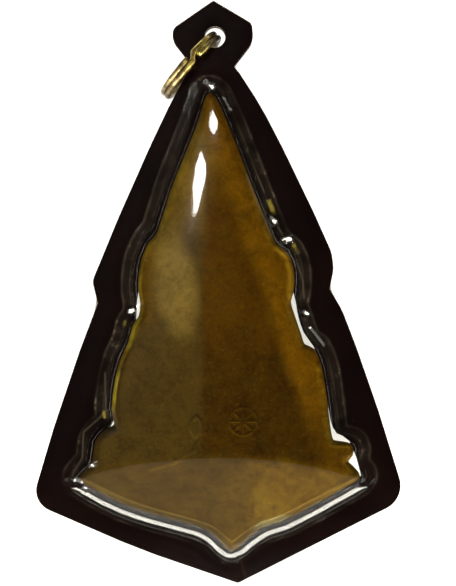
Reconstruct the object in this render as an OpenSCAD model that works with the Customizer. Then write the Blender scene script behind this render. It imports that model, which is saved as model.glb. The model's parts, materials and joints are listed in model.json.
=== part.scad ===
// A Thai Buddha amulet in its waterproof plastic case. A cast brass tablet stands between
// two clear formed covers. A black sheet lies between the covers' borders, and a split
// ring passes through the hanging tab. The pendant lies on its front cover with its back
// upwards and its tab towards +Y.

/* [Amulet] */
// Width of the casting across its foot
amulet_w = 22.1; // [18:0.1:28]
// Height of the casting from its lower point to its tip
amulet_h = 36.2; // [30:0.1:46]
// Thickness of the casting at its rim
rim_t = 2.2; // [1.6:0.1:3]
// Height of the seated figure above the rim's front face
relief_h = 2.2; // [1.6:0.1:3]
// How far the back is crowned across its width
back_crown = 0.5; // [0.2:0.05:0.8]
// How far the back falls from its low ridge to its lower point
foot_fall = 0.7; // [0.3:0.05:1]
// Bevel round the casting's two faces
cast_bevel = 0.2; // [0.1:0.05:0.3]

/* [Case] */
// Black border beside the casting
side_border = 3.55; // [3:0.05:6]
// Border between the casting's tip and the neck of the tab
top_border = 2.25; // [2.1:0.05:5]
// Border below the casting's lower point
foot_border = 2.95; // [2.5:0.05:6]
// Thickness of each clear cover
cover_t = 0.6; // [0.4:0.05:0.8]
// Thickness of the black sheet
sheet_t = 1.0; // [0.6:0.05:1.5]
// Width of the covers' sloping wall, from the cut-out to its foot
wall_reach = 1.5; // [1.3:0.05:1.8]
// Clearance between the casting and the covers
cast_gap = 0.2; // [0.15:0.05:0.3]
// Bond line between a cover and the black sheet
bond_gap = 0.05; // [0.03:0.01:0.1]

/* [Tab] */
// Width of the hanging tab
tab_w = 6.6; // [5.6:0.1:8]
// Height of the hanging tab above its neck
tab_h = 5.3; // [5:0.1:7]
// Width of the neck under the tab
neck_w = 3.35; // [3:0.05:4.5]
// Diameter of the hole for the ring
hole_d = 1.65; // [1.6:0.05:2.2]

/* [Ring] */
// Outside diameter of the split ring
ring_d = 6.7; // [6.6:0.1:9]
// Width of the flat wire along the ring's axis
wire_w = 0.38; // [0.3:0.01:0.42]
// Thickness of the flat wire along the ring's radius
wire_t = 0.58; // [0.4:0.01:0.62]
// Gap between the ring's two coils
coil_gap = 0.05; // [0.03:0.01:0.08]
// Direction in which the ring hangs over the tab
ring_turn = 229; // [222:1:236]
// Lean of the ring from upright
ring_lean = 6.5; // [0:0.5:8]

/* [Hidden] */

// Levels from the surface that the pendant lies on
z_relief = cover_t + cast_gap;
z_rim = z_relief + relief_h;
z_back = z_rim + rim_t;
z_sheet = z_rim;
z_sheet_top = z_sheet + sheet_t;
stack_t = sheet_t + 2 * (bond_gap + cover_t);

// Columns of the two-sided outline tables: a left and a right point in each row
LX = 0;
LY = 1;
RX = 2;
RY = 3;

// The casting's outline from its tip down to its lower point. X is a share of
// amulet_w from the middle and Y a share of amulet_h from the lower point.
CAST_ROWS = [
    [-0.037, 1.000, -0.037, 1.000],
    [-0.051, 0.981, -0.015, 0.983],
    [-0.079, 0.927,  0.027, 0.925],
    [-0.126, 0.856,  0.072, 0.855],
    [-0.172, 0.785,  0.117, 0.783],
    [-0.218, 0.696,  0.172, 0.699],
    [-0.249, 0.673,  0.195, 0.668],
    [-0.276, 0.637,  0.239, 0.647],
    [-0.287, 0.597,  0.260, 0.608],
    [-0.288, 0.566,  0.258, 0.564],
    [-0.281, 0.540,  0.248, 0.542],
    [-0.286, 0.509,  0.260, 0.515],
    [-0.308, 0.489,  0.287, 0.467],
    [-0.324, 0.451,  0.300, 0.444],
    [-0.353, 0.414,  0.336, 0.434],
    [-0.373, 0.365,  0.362, 0.392],
    [-0.384, 0.308,  0.378, 0.330],
    [-0.375, 0.268,  0.388, 0.281],
    [-0.411, 0.256,  0.400, 0.237],
    [-0.444, 0.233,  0.421, 0.229],
    [-0.451, 0.202,  0.470, 0.224],
    [-0.464, 0.178,  0.473, 0.204],
    [-0.500, 0.155,  0.454, 0.187],
    [-0.466, 0.136,  0.500, 0.159],
    [-0.350, 0.099,  0.454, 0.137],
    [-0.234, 0.075,  0.307, 0.087],
    [-0.118, 0.056,  0.222, 0.061],
    [-0.049, 0.042,  0.152, 0.047],
    [-0.002, 0.023,  0.083, 0.019],
    [ 0.040, 0.000,  0.040, 0.000],
];

// The smooth line of the cut-out in the black sheet, in the same shares
CUT_ROWS = [
    [-0.038,  1.012, -0.038,  1.012],
    [-0.071,  0.975,  0.000,  0.971],
    [-0.101,  0.920,  0.035,  0.924],
    [-0.147,  0.836,  0.080,  0.855],
    [-0.211,  0.742,  0.125,  0.783],
    [-0.247,  0.684,  0.180,  0.699],
    [-0.286,  0.650,  0.207,  0.670],
    [-0.303,  0.602,  0.247,  0.650],
    [-0.302,  0.544,  0.268,  0.613],
    [-0.308,  0.500,  0.271,  0.566],
    [-0.336,  0.451,  0.281,  0.518],
    [-0.363,  0.405,  0.303,  0.474],
    [-0.385,  0.368,  0.339,  0.443],
    [-0.391,  0.301,  0.371,  0.394],
    [-0.403,  0.268,  0.389,  0.330],
    [-0.436,  0.248,  0.401,  0.279],
    [-0.462,  0.222,  0.423,  0.250],
    [-0.470,  0.182,  0.469,  0.233],
    [-0.511,  0.154,  0.512,  0.156],
    [-0.465,  0.126,  0.469,  0.131],
    [-0.342,  0.086,  0.351,  0.097],
    [-0.213,  0.059,  0.232,  0.056],
    [-0.070,  0.030,  0.134,  0.032],
    [ 0.039, -0.010,  0.039, -0.010],
];

// Columns of the corner tables: a corner and the radius that rounds it
CX = 0;
CY = 1;
CR = 2;

// Outline of the case below its neck, clockwise from the neck's right side. X and the
// radius are shares of the case's width, and Y is a share of its height to the neck.
CASE_CORNERS = [
    [ 0.053, 0.988, 0.03],
    [ 0.112, 0.924, 0.60],
    [ 0.216, 0.783, 4.00],
    [ 0.306, 0.641, 0.07],
    [ 0.312, 0.609, 0.08],
    [ 0.301, 0.570, 0.00],
    [ 0.335, 0.529, 0.12],
    [ 0.408, 0.395, 5.00],
    [ 0.510, 0.164, 0.07],
    [ 0.049, 0.000, 0.01],
    [-0.223, 0.066, 1.20],
    [-0.518, 0.156, 0.06],
    [-0.425, 0.377, 5.00],
    [-0.336, 0.542, 0.00],
    [-0.351, 0.585, 0.04],
    [-0.237, 0.780, 4.00],
    [-0.135, 0.931, 0.60],
    [-0.091, 0.988, 0.03],
];

// Outline of the tab, clockwise from its left side. X and the radius are shares of the
// tab's width from the neck's middle, and Y is a share of its height above the neck.
TAB_CORNERS = [
    [-0.494, 0.385, 0.30],
    [-0.494, 0.576, 0.12],
    [ 0.000, 1.000, 0.03],
    [ 0.470, 0.654, 0.10],
    [ 0.488, 0.370, 0.30],
];
neck_x = -0.0186;  // share of the case's width from the middle of the casting
hole_x = 0.02;     // share of the tab's width from the neck's middle
hole_y = 0.446;    // share of the tab's height above the neck

case_w = amulet_w + 2 * side_border;
case_h = amulet_h + top_border + foot_border;
neck = [neck_x * case_w, amulet_h + top_border];
hole = neck + [hole_x * tab_w, hole_y * tab_h];

// Columns of the relief table: middle, half axes and turn of an oval form, and its top.
// Shares are as in CAST_ROWS, and the top is a share of relief_h.
PX = 0;
PY = 1;
PRX = 2;
PRY = 3;
PTURN = 4;
PTOP = 5;

// The seated figure on its lotus base
FIGURE = [
    [ 0.000, 0.135, 0.420, 0.040,   0, 0.50],
    [ 0.000, 0.190, 0.440, 0.036,   0, 0.64],
    [ 0.000, 0.240, 0.400, 0.032,   0, 0.74],
    [-0.150, 0.298, 0.210, 0.044,   0, 1.00],
    [ 0.150, 0.298, 0.210, 0.044,   0, 1.00],
    [ 0.000, 0.330, 0.240, 0.036,   0, 1.00],
    [ 0.000, 0.430, 0.160, 0.130,   0, 0.86],
    [ 0.000, 0.490, 0.220, 0.062,   0, 0.84],
    [-0.205, 0.440, 0.064, 0.100, -10, 0.70],
    [ 0.205, 0.440, 0.064, 0.100,  10, 0.70],
    [-0.230, 0.350, 0.056, 0.070,   8, 0.80],
    [ 0.130, 0.365, 0.150, 0.034, -20, 0.94],
    [ 0.000, 0.560, 0.070, 0.050,   0, 0.66],
    [ 0.000, 0.618, 0.100, 0.070,   0, 1.00],
    [ 0.000, 0.675, 0.078, 0.046,   0, 0.84],
    [ 0.000, 0.720, 0.042, 0.052,   0, 0.68],
    [ 0.000, 0.770, 0.028, 0.060,   0, 0.50],
];
ARCH_INSET = 0.9;   // from the casting's edge to the middle of the arch's band
ARCH_HALF = 0.65;   // half the width of the arch's band
ARCH_TOP = 0.42;    // top of the arch's band, as a share of relief_h
ARCH_FOOT = 0.27;   // share of amulet_h at which the arch starts
AXIS_LEAN = -0.045; // lean of the figure's middle line over the amulet's height

SIDE_STEPS = 2;     // points for each row of a two-sided table
RELIEF_COLUMNS = 36;
BACK_COLUMNS = 10;
ARC_STEP = 10;      // largest turn between two points of a rounded corner
CORNER_REACH = 0.45; // most of a side that one corner's arc may take
SHARP = 0.02;       // a corner whose arc is shorter than this stays sharp

function lerp(a, b, t) = a + (b - a) * t;

// The closed line through a two-sided table, clockwise from its top row
function loop_of(rows) = concat(
    [for (i = [0:len(rows) - 1]) [rows[i][RX] * amulet_w, rows[i][RY] * amulet_h]],
    [for (i = [len(rows) - 2:-1:1]) [rows[i][LX] * amulet_w, rows[i][LY] * amulet_h]]);

function bend(a, b, c, d, t) = 0.5 * (2 * b + (c - a) * t
    + (2 * a - 5 * b + 4 * c - d) * t * t + (3 * b - a - 3 * c + d) * t * t * t);

// A smooth closed line through the points of a loop, with steps points for each
function smooth(loop, steps) = let (n = len(loop)) [
    for (i = [0:n - 1], s = [0:steps - 1])
        bend(loop[(i + n - 1) % n], loop[i], loop[(i + 1) % n], loop[(i + 2) % n], s / steps)];

// The direction of a loop at point i, taken between its neighbours k points away
function along(loop, i, k) = let (n = len(loop), v = loop[(i + k) % n] - loop[(i + n - k) % n])
    v / norm(v);

// A clockwise loop moved outwards by d, with directions that turn gently in the notches
function moved_out(loop, d) = [
    for (i = [0:len(loop) - 1]) let (v = along(loop, i, 1) + along(loop, i, 2))
    loop[i] + d * [-v.y, v.x] / norm(v)];

function raised(loop, z) = [for (p = loop) [p.x, p.y, z]];

function turned(v, a) = [v.x * cos(a) - v.y * sin(a), v.x * sin(a) + v.y * cos(a)];

// A clockwise polygon with each corner rounded by an arc
function rounded(corners) = let (n = len(corners)) [
    for (i = [0:n - 1]) let (
        at = [corners[i][CX], corners[i][CY]],
        before = corners[(i + n - 1) % n],
        after = corners[(i + 1) % n],
        back = [before[CX], before[CY]] - at,
        on = [after[CX], after[CY]] - at,
        u = back / norm(back),
        v = on / norm(on),
        half = acos(max(-1, min(1, u * v))) / 2,
        reach = min(corners[i][CR] / tan(half), CORNER_REACH * norm(back), CORNER_REACH * norm(on)),
        r = reach * tan(half),
        out = -(u + v) / norm(u + v),
        middle = at - out * r / sin(half),
        side = sign(cross(out, u)),
        spread = 180 - 2 * half,
        steps = max(1, ceil(spread / ARC_STEP)))
    each reach < SHARP ? [at]
        : [for (s = [0:steps]) middle + r * turned(out, side * spread * (0.5 - s / steps))]];

case_line = rounded(concat(
    [[neck.x + neck_w / 2, neck.y, 0]],
    [for (c = CASE_CORNERS) [c[CX] * case_w, c[CY] * case_h - foot_border, c[CR] * case_w]],
    [[neck.x - neck_w / 2, neck.y, 0]],
    [for (c = TAB_CORNERS) [neck.x + c[CX] * tab_w, neck.y + c[CY] * tab_h, c[CR] * tab_w]]));

cast_line = smooth(loop_of(CAST_ROWS), SIDE_STEPS);
cut_line = smooth(loop_of(CUT_ROWS), SIDE_STEPS);

// The middle of the case's outline, which becomes the origin
case_xs = [for (p = case_line) p.x];
case_ys = [for (p = case_line) p.y];
middle = [(min(case_xs) + max(case_xs)) / 2, (min(case_ys) + max(case_ys)) / 2];

// How far the back has fallen at a place below its low ridge
RIDGE_Y = 0.192;    // share of amulet_h at the ridge's middle
RIDGE_DROP = 0.040; // share of amulet_h that the ridge's ends lie lower
function fall_at(x, y) = let (
    across = 2 * x / amulet_w,
    ridge = amulet_h * (RIDGE_Y - RIDGE_DROP * across * across))
    foot_fall * max(0, ridge - y) / (amulet_h * RIDGE_Y);

// Height of the crowned back above its edge, where u runs from 0 at the left edge to 1.
// It is flatter where the casting is narrow.
NARROW = 0.145;     // share of amulet_w at which the crown has half its height
function crown_at(u, wide) = let (w = pow(wide / (NARROW * amulet_w), 4))
    back_crown * (1 - pow(2 * u - 1, 2)) * w / (1 + w);

// Height of one oval form of the figure at a place, as a share of relief_h
function form_at(f, x, y) = let (
    dx = x - f[PX] * amulet_w - AXIS_LEAN * amulet_w * f[PY],
    dy = y - f[PY] * amulet_h,
    px = (dx * cos(f[PTURN]) + dy * sin(f[PTURN])) / (f[PRX] * amulet_w),
    py = (dy * cos(f[PTURN]) - dx * sin(f[PTURN])) / (f[PRY] * amulet_h))
    f[PTOP] * max(0, 1 - px * px - py * py);

function arch_at(y, inset) = let (off = (inset - ARCH_INSET) / ARCH_HALF)
    y < ARCH_FOOT * amulet_h ? 0 : ARCH_TOP * max(0, 1 - off * off);

function front_at(x, y, inset) = z_rim
    - relief_h * max(arch_at(y, inset), max([for (f = FIGURE) form_at(f, x, y)]));

// The point across a loop from its left side (u = 0) to its right side (u = 1)
function across(loop, j, u) = lerp(loop[(len(loop) - j) % len(loop)], loop[j], u);

// Number of a cap's point. Its edge is the ring that starts at number ring0, and its
// inner points start at number inner0.
function cap_id(j, i, half, columns, ring0, inner0) =
    j == 0 ? ring0
    : j == half ? ring0 + half
    : i == 0 ? ring0 + 2 * half - j
    : i == columns ? ring0 + j
    : inner0 + (j - 1) * (columns - 1) + i - 1;

// Faces of a cap that is seen from above, or from below if under is true
function cap_faces(half, columns, ring0, inner0, under) = [
    for (j = [0:half - 1], i = [0:columns - 1]) let (
        a = cap_id(j, i, half, columns, ring0, inner0),
        b = cap_id(j, i + 1, half, columns, ring0, inner0),
        c = cap_id(j + 1, i + 1, half, columns, ring0, inner0),
        d = cap_id(j + 1, i, half, columns, ring0, inner0))
    each [for (f = [[a, b, c], [a, c, d]])
        if (f[0] != f[1] && f[1] != f[2] && f[0] != f[2]) under ? [f[2], f[1], f[0]] : f]];

// Inner points of a cap, whose heights come from the function level(x, y, u, wide)
function cap_points(loop, columns, level) = let (half = len(loop) / 2) [
    for (j = [1:half - 1], i = [1:columns - 1]) let (
        u = i / columns,
        p = across(loop, j, u),
        wide = norm(loop[j] - across(loop, j, 0)))
    [p.x, p.y, level(p.x, p.y, u, wide)]];

// A closed skin over rings of equal length, given from the lowest up, with a cap at each
// end. A cap of one column is flat and has no inner points.
module skin(rings, under = [], under_columns = 1, over = [], over_columns = 1) {
    n = len(rings[0]);
    last = (len(rings) - 1) * n;
    under0 = last + n;
    over0 = under0 + len(under);
    points = concat([for (ring = rings) each ring], under, over);
    sides = [for (k = [0:len(rings) - 2], j = [0:n - 1]) let (
        a = k * n + j,
        b = k * n + (j + 1) % n)
        each [[a, b, b + n], [a, b + n, a + n]]];
    low = cap_faces(n / 2, under_columns, 0, under0, true);
    high = cap_faces(n / 2, over_columns, last, over0, false);
    polyhedron(points, concat(sides, low, high), convexity = 6);
}

module case_plate(z, t) {
    translate([0, 0, z]) linear_extrude(t) polygon(case_line);
}

module ring_hole() {
    low = z_sheet_top - stack_t;
    translate([hole.x, hole.y, low]) cylinder(d = hole_d, h = 2 * stack_t, $fn = 48);
}

// Columns of the wall tables: shares of the way in and of the way up from a cover's
// border to its shoulder, and the share of the back's fall that the wall follows
WIN = 0;
WUP = 1;
WFALL = 2;
BACK_WALL = [
    [0.00, 0.00, 0.00],
    [0.36, 0.08, 0.10],
    [0.54, 0.30, 0.30],
    [0.66, 0.66, 0.60],
    [0.79, 0.90, 0.90],
    [1.00, 1.00, 1.00],
];
FRONT_WALL = [
    [0.00, 0.00, 0.00],
    [0.38, 0.15, 0.00],
    [0.72, 0.62, 0.00],
    [0.90, 0.90, 0.00],
    [1.35, 1.00, 0.00],
];
SHOULDER = 0.15;     // from the cut-out to the shoulder of a cover's inner face
SHOULDER_OUT = 0.30; // share of the thickness that the outer face's shoulder adds to that

// Rings from a cover's border at level foot to its shoulder at level top. thick is 0 for
// the inner face and cover_t for the outer one.
function wall_rings(wall, foot, top, thick) = let (
    border = wall_reach - cover_t + thick,
    shoulder = SHOULDER + SHOULDER_OUT * thick)
    [for (w = wall) [for (p = moved_out(cut_line, lerp(border, shoulder, w[WIN])))
        [p.x, p.y, lerp(foot, top, w[WUP]) - w[WFALL] * fall_at(p.x, p.y)]]];

function reversed(list) = [for (i = [len(list) - 1:-1:0]) list[i]];

// The back cover's bulge, from z_low in its border up to its crown
module back_bulge(z_low, thick) {
    top = z_back + cast_gap + thick;
    rings = wall_rings(BACK_WALL, z_sheet_top + bond_gap + thick, top, thick);
    crown = cap_points(rings[len(rings) - 1], BACK_COLUMNS,
        function (x, y, u, wide) top + crown_at(u, wide) - fall_at(x, y));
    skin(concat([raised(rings[0], z_low)], rings), over = crown, over_columns = BACK_COLUMNS);
}

// The front cover's bulge, from its flat face up to z_high in its border
module front_bulge(z_high, thick) {
    rings = wall_rings(FRONT_WALL, z_sheet - bond_gap - thick, cover_t - thick, thick);
    skin(concat(reversed(rings), [raised(rings[0], z_high)]));
}

module border_sheet() {
    color([0.05, 0.03, 0.03]) difference() {
        case_plate(z_sheet, sheet_t);
        translate([0, 0, z_sheet - sheet_t]) linear_extrude(3 * sheet_t) polygon(cut_line);
        ring_hole();
    }
}

module back_cover() {
    low = z_sheet_top + bond_gap;
    color([0.85, 0.88, 0.9, 0.3]) difference() {
        union() {
            case_plate(low, cover_t);
            back_bulge(low + cover_t / 2, cover_t);
        }
        back_bulge(low - cover_t, 0);
        ring_hole();
    }
}

module front_cover() {
    high = z_sheet - bond_gap;
    color([0.85, 0.88, 0.9, 0.3]) difference() {
        union() {
            case_plate(high - cover_t, cover_t);
            front_bulge(high - cover_t / 2, cover_t);
        }
        front_bulge(high + cover_t, 0);
        ring_hole();
    }
}

module amulet() {
    inner = moved_out(cast_line, -cast_bevel);
    back_ring = [for (p = inner) [p.x, p.y, z_back - fall_at(p.x, p.y)]];
    side_ring = [for (p = cast_line) [p.x, p.y, z_back - cast_bevel - fall_at(p.x, p.y)]];
    color([0.55, 0.42, 0.12]) skin(
        [raised(inner, z_rim), raised(cast_line, z_rim + cast_bevel), side_ring, back_ring],
        cap_points(inner, RELIEF_COLUMNS,
            function (x, y, u, wide) front_at(x, y, min(u, 1 - u) * wide)),
        RELIEF_COLUMNS,
        cap_points(inner, BACK_COLUMNS,
            function (x, y, u, wide) z_back + crown_at(u, wide) - fall_at(x, y)),
        BACK_COLUMNS);
}

// The split ring is one flat wire wound twice at an even pitch. Its two ends meet the
// middle strand at END_AT degrees round from the ring's far side.
END_AT = 102;
END_CUT = 1;        // degrees that each end stops short
WIND_STEP = 10;
WIRE_CORNER = 0.12; // bevel of the wire's edges
FLOOR_GAP = 0.1;    // least gap below the ring
ring_r = ring_d / 2;
pitch = wire_w + coil_gap;

// The wire's section: out along the ring's radius and up along its axis
function wire_section() = let (w = wire_w / 2, b = WIRE_CORNER) [
    [-wire_t, -w + b], [-wire_t + b, -w], [-b, -w], [0, -w + b],
    [0, w - b], [-b, w], [-wire_t + b, w], [-wire_t, w - b]];

module wound_wire() {
    section = wire_section();
    n = len(section);
    turns = 720 - 2 * END_CUT;
    count = ceil(turns / WIND_STEP);
    points = [for (s = [0:count], p = section) let (
        a = END_CUT + turns * s / count,
        r = ring_r + p.x)
        [r * cos(a), r * sin(a), pitch * (a / 360 - 1) + p.y]];
    sides = [for (s = [0:count - 1], i = [0:n - 1]) let (
        a = s * n + i,
        b = s * n + (i + 1) % n)
        each [[a, b + n, b], [a, a + n, b + n]]];
    polyhedron(points, concat(sides,
        [[for (i = [0:n - 1]) i]],
        [[for (i = [n - 1:-1:0]) count * n + i]]), convexity = 8);
}

// The wire bows while it passes through the hole, so its middle there lies between its
// distances from the ring's middle at the two ends of the hole
module split_ring() {
    z_stack = z_sheet + sheet_t / 2;
    ring_z = max(z_stack, ring_r + FLOOR_GAP);
    wire_r = ring_r - wire_t / 2;
    high = max(0, ring_z - z_stack - stack_t / 2);
    low = ring_z - z_stack + stack_t / 2;
    reach = (sqrt(pow(wire_r, 2) - pow(high, 2)) + sqrt(pow(wire_r, 2) - pow(low, 2))) / 2;
    away = [cos(ring_turn), sin(ring_turn)];
    leaning = (ring_z - z_stack) * tan(ring_lean) * [away.y, -away.x];
    at = hole + reach * away + leaning;
    color([0.72, 0.66, 0.48])
        translate([at.x, at.y, ring_z])
        rotate([0, 0, ring_turn])
        rotate([90 + ring_lean, 0, 0])
        rotate([0, 0, END_AT])
        wound_wire();
}

translate([-middle.x, -middle.y, 0]) {
    border_sheet();
    back_cover();
    front_cover();
    amulet();
    split_ring();
}
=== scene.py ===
# Cast amulet in a clear waterproof case with a black border, lying on its front cover.
import json
import math

import bpy
import numpy as np
from mathutils import Matrix, Vector
from mathutils.kdtree import KDTree

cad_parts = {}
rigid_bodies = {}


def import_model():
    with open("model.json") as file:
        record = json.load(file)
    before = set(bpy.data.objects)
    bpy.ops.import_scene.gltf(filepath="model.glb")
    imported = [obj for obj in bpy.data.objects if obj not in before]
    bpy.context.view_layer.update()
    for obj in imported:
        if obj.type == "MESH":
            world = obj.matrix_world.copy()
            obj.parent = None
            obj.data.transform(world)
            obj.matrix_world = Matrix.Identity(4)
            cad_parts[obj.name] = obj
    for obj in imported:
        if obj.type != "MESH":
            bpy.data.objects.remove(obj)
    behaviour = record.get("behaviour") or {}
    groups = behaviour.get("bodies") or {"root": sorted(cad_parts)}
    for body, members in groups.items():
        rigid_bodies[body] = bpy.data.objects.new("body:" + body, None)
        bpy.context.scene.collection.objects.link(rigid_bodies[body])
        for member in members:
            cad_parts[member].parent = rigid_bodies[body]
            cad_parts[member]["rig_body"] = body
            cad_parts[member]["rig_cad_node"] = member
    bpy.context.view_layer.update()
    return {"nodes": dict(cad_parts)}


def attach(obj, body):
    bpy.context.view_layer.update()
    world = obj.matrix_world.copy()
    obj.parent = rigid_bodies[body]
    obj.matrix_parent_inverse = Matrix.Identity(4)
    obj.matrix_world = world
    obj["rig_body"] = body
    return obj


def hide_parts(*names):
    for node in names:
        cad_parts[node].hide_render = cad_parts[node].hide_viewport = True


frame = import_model()
mm = 0.001
print("frame loaded")


# Work on meshes

def workOn(piece):
    if bpy.context.object and bpy.context.object.mode != "OBJECT":
        bpy.ops.object.mode_set(mode="OBJECT")
    bpy.ops.object.select_all(action="DESELECT")
    if piece:
        piece.select_set(True)
        bpy.context.view_layer.objects.active = piece


def applied(piece, kind, **settings):
    modifier = piece.modifiers.new(kind, kind)
    for name, value in settings.items():
        setattr(modifier, name, value)
    workOn(piece)
    bpy.ops.object.modifier_apply(modifier=modifier.name)


def copyOfNode(nodeName, pieceName):
    workOn(frame["nodes"][nodeName])
    bpy.ops.object.duplicate()
    piece = bpy.context.object
    piece.name = piece.data.name = pieceName
    piece.parent = None
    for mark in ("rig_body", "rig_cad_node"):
        del piece[mark]
    piece.data.materials.clear()
    bpy.ops.mesh.customdata_custom_splitnormals_clear()
    bpy.ops.object.mode_set(mode="EDIT")
    bpy.ops.mesh.select_all(action="SELECT")
    bpy.ops.mesh.remove_doubles(threshold=0.002 * mm)
    bpy.ops.mesh.tris_convert_to_quads(face_threshold=0.6, shape_threshold=1.2)
    bpy.ops.object.mode_set(mode="OBJECT")
    return piece


# Leaves the piece in edit mode with these faces chosen
def chooseFaces(piece, chosen):
    workOn(piece)
    bpy.ops.object.mode_set(mode="EDIT")
    bpy.ops.mesh.select_mode(type="FACE")
    bpy.ops.mesh.select_all(action="DESELECT")
    bpy.ops.object.mode_set(mode="OBJECT")
    piece.data.polygons.foreach_set("select", chosen)
    bpy.ops.object.mode_set(mode="EDIT")


def pointsOf(piece):
    points = np.empty(len(piece.data.vertices) * 3)
    piece.data.vertices.foreach_get("co", points)
    return points.reshape(-1, 3)


def putPoints(piece, points):
    piece.data.vertices.foreach_set("co", np.ascontiguousarray(points, dtype=np.float32).ravel())
    piece.data.update()


def normalsOf(piece):
    normals = np.empty(len(piece.data.vertices) * 3)
    piece.data.vertex_normals.foreach_get("vector", normals)
    return normals.reshape(-1, 3)


def smoothBy(piece, angle):
    workOn(piece)
    bpy.ops.object.shade_smooth_by_angle(angle=math.radians(angle))


# Sets a value at each point, for the piece's material
def marked(piece, name, values):
    mark = piece.data.attributes.get(name) or piece.data.attributes.new(name, "FLOAT", "POINT")
    mark.data.foreach_set("value", np.ascontiguousarray(values, dtype=np.float32))


def given(piece, material, slot, *nodes):
    piece.data.materials.clear()
    piece.data.materials.append(material)
    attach(piece, "root")
    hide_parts(*nodes)


# Sums on arrays of values

# From 0 at low to 1 at high, gently at both ends
def eased(values, low, high):
    share = np.clip((values - low) / (high - low), 0, 1)
    return share * share * (3 - 2 * share)


# A ridge across a line: 1 on it, falling away over half its width
def ridge(away, half):
    return np.exp(-(away / half) ** 2)


# A wave of this length with its crests at whole lengths
def wave(along, length):
    return np.cos(2 * math.pi * along / length)


# How far each point lies from a line between two ends, and its share of the way along it
def besideLine(x, y, ends):
    x0, y0, x1, y1 = ends
    square = (x1 - x0) ** 2 + (y1 - y0) ** 2
    share = np.clip(((x - x0) * (x1 - x0) + (y - y0) * (y1 - y0)) / square, 0, 1)
    return np.hypot(x - x0 - share * (x1 - x0), y - y0 - share * (y1 - y0)), share


# Shader maths

class Signal:
    def __init__(self, tree, socket):
        self.tree, self.socket = tree, socket

    def math(self, operation, other=None, first=False):
        pair = (other, self) if first else (self, other)
        sockets = {i: v for i, v in enumerate(pair) if v is not None}
        return self.tree.node("Math", {"operation": operation}, sockets)

    def __add__(self, other):
        return self.math("ADD", other)

    def __sub__(self, other):
        return self.math("SUBTRACT", other)

    def __mul__(self, other):
        return self.math("MULTIPLY", other)

    def __truediv__(self, other):
        return self.math("DIVIDE", other)

    def __pow__(self, other):
        return self.math("POWER", other)

    def __rsub__(self, other):
        return self.math("SUBTRACT", other, first=True)

    __radd__ = __add__
    __rmul__ = __mul__

    # From 0 at low to 1 at high, gently at both ends
    def over(self, low, high):
        sockets = {"Value": self, "From Min": low, "From Max": high}
        return self.tree.node("MapRange", {"interpolation_type": "SMOOTHSTEP"}, sockets)


class Tree:
    def __init__(self, name):
        self.material = bpy.data.materials.new(name)
        self.material.use_nodes = True
        self.tree = self.material.node_tree
        self.tree.nodes.clear()

    def node(self, kind, settings=None, sockets=None, output=0):
        made = self.tree.nodes.new("ShaderNode" + kind)
        for name, value in (settings or {}).items():
            setattr(made, name, value)
        for name, value in (sockets or {}).items():
            if isinstance(value, Signal):
                self.tree.links.new(value.socket, made.inputs[name])
            else:
                made.inputs[name].default_value = value
        return Signal(self, made.outputs[output])

    def place(self):
        return self.node("TexCoord", output="Object")

    def noise(self, perMm, detail=3.0, roughness=0.55, distortion=0.0):
        sockets = {"Vector": self.place(), "Scale": perMm / mm, "Detail": detail,
                   "Roughness": roughness, "Distortion": distortion}
        return self.node("TexNoise", {}, sockets, "Fac")

    # Of the many sockets of a Mix node, 6 and 7 take its colours and 2 gives the mixed one
    def mix(self, share, first, second):
        sockets = {"Factor": share, 6: first, 7: second}
        return self.node("Mix", {"data_type": "RGBA"}, sockets, 2)

    # A colour with others laid over it in turn, each by its share
    def layered(self, colour, *layers):
        for share, upper in layers:
            colour = self.mix(share, colour, upper)
        return colour

    def bump(self, height, depth):
        return self.node("Bump", {}, {"Height": height, "Distance": depth * mm})

    def mark(self, name):
        return self.node("Attribute", {"attribute_name": name}, {}, "Fac")

    # The place across and along the pendant, in mm
    def across(self):
        split = self.node("SeparateXYZ", {}, {"Vector": self.place()})
        x = split / mm
        return x, Signal(self, split.socket.node.outputs["Y"]) / mm

    def mixed(self, share, first, second):
        return self.node("MixShader", {}, {0: share, 1: first, 2: second})

    def glossy(self, roughness, normal):
        sockets = {"Color": (1, 1, 1, 1), "Roughness": roughness, "Normal": normal}
        return self.node("BsdfGlossy", {}, sockets)

    def principled(self, sockets):
        return self.finished(self.node("BsdfPrincipled", {}, sockets))

    def finished(self, shader):
        end = self.tree.nodes.new("ShaderNodeOutputMaterial")
        self.tree.links.new(shader.socket, end.inputs["Surface"])
        return self.material


# A colour of the screen, from 0 to 255, as the shaders need it
def rgb(red, green, blue):
    return tuple(((v / 255 + 0.055) / 1.055) ** 2.4 if v > 10 else v / 255 / 12.92
                 for v in (red, green, blue)) + (1,)


# Finishes

clearLook = {
    "shine": 0.05,     # roughness of the polish, and of the share of it that is worn hazy
    "haze": 0.22,
    "hazy": 0.05,
    "ahead": 0.035,    # reflection seen straight on, and what is added aslant
    "aslant": 0.6,
    "dulled": 0.9,     # how much of it the dull mark takes away
    "frostAndGlint": 0.45,
    "scuffedAndSheen": (0.012, 0.05, 0.2),   # share of scuffs and of the painted reflection in the walls: everywhere, in grey areas and in flecks
    "goldReflectionShares": (0.06, 0.34),        # share of the painted reflection of the casting's gold: everywhere and what comes and goes
    "tint": (0.97, 0.97, 0.95, 1),
    # colour of the scuffs, the frost, and the painted reflection and highlights in the walls
    "scuffAndSheen": (0.34, 0.27, 0.19, 1),
    # painted reflection of the casting's brass in the walls
    "gold": (0.40, 0.32, 0.05, 1),
}


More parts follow.
